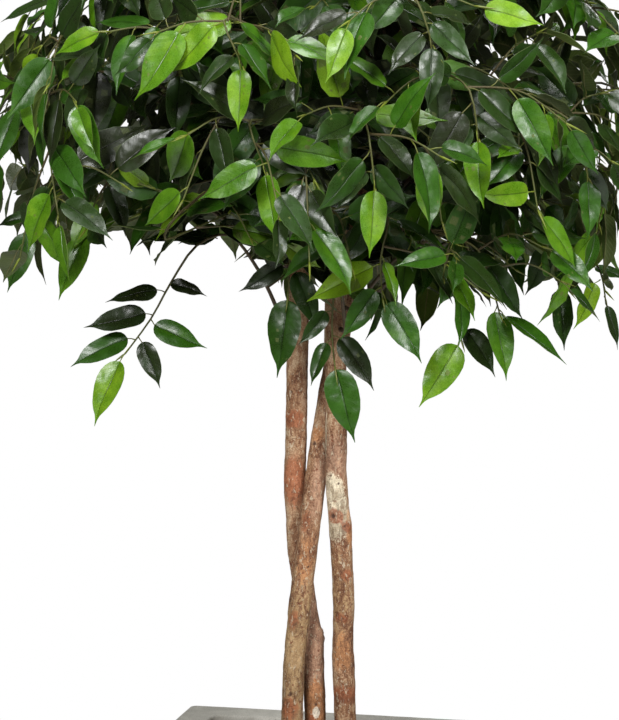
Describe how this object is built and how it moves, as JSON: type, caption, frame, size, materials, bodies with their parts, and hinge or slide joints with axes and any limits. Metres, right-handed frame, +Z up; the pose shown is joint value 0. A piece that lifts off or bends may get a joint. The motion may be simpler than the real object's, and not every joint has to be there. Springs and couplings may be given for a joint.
{
  "type": "potted weeping fig topiary",
  "caption": "Weeping fig topiary: bare stems cross above a square concrete planter and carry one round crown of hanging, pointed, glossy leaves.",
  "frame": {"origin": "middle of the planter's base, on the floor", "axes": "+Z up along the stems; X and Y along the planter's sides; the picture looks along +Y, turned 12.5 degrees towards -X"},
  "size_m": [0.7537, 0.7179, 1.3571],
  "materials": {
    "concrete": "matte",
    "soil": "matte",
    "bark": "matte",
    "leaf": "satin"
  },
  "bodies": {
    "root": {"planter": "concrete", "soil": "soil", "spray_fringe_edge_left": "leaf", "spray_fringe_edge_right": "leaf", "spray_fringe_far_left": "leaf", "spray_fringe_far_right": "leaf", "spray_fringe_left": "leaf", "spray_fringe_middle": "leaf", "spray_fringe_right": "leaf", "spray_fringe_right_low": "leaf", "spray_fringe_stem_left": "leaf", "spray_fringe_stem_right": "leaf", "spray_front_left": "leaf", "spray_front_left_high": "leaf", "spray_front_left_out": "leaf", "spray_front_middle": "leaf", "spray_front_right": "leaf", "spray_front_right_high": "leaf", "spray_front_right_out": "leaf", "spray_lower_1": "leaf", "spray_lower_10": "leaf", "spray_lower_11": "leaf", "spray_lower_12": "leaf", "spray_lower_3": "leaf", "spray_lower_4": "leaf", "spray_lower_8": "leaf", "spray_lower_9": "leaf", "spray_middle_1": "leaf", "spray_middle_12": "leaf", "spray_middle_2": "leaf", "spray_middle_3": "leaf", "spray_middle_4": "leaf", "spray_middle_5": "leaf", "spray_middle_6": "leaf", "spray_middle_7": "leaf", "spray_middle_8": "leaf", "spray_skirt_3": "leaf", "spray_skirt_5": "leaf", "spray_skirt_6": "leaf", "spray_skirt_7": "leaf", "spray_top_1": "leaf", "spray_top_2": "leaf", "spray_top_3": "leaf", "spray_top_4": "leaf", "spray_under_1": "leaf", "spray_under_2": "leaf", "spray_under_3": "leaf", "spray_upper_1": "leaf", "spray_upper_2": "leaf", "spray_upper_3": "leaf", "spray_upper_4": "leaf", "spray_upper_5": "leaf", "spray_upper_6": "leaf", "spray_upper_7": "leaf", "spray_upper_8": "leaf", "stem_left": "bark", "stem_middle": "bark", "stem_right": "bark"}
  },
  "joints": []
}
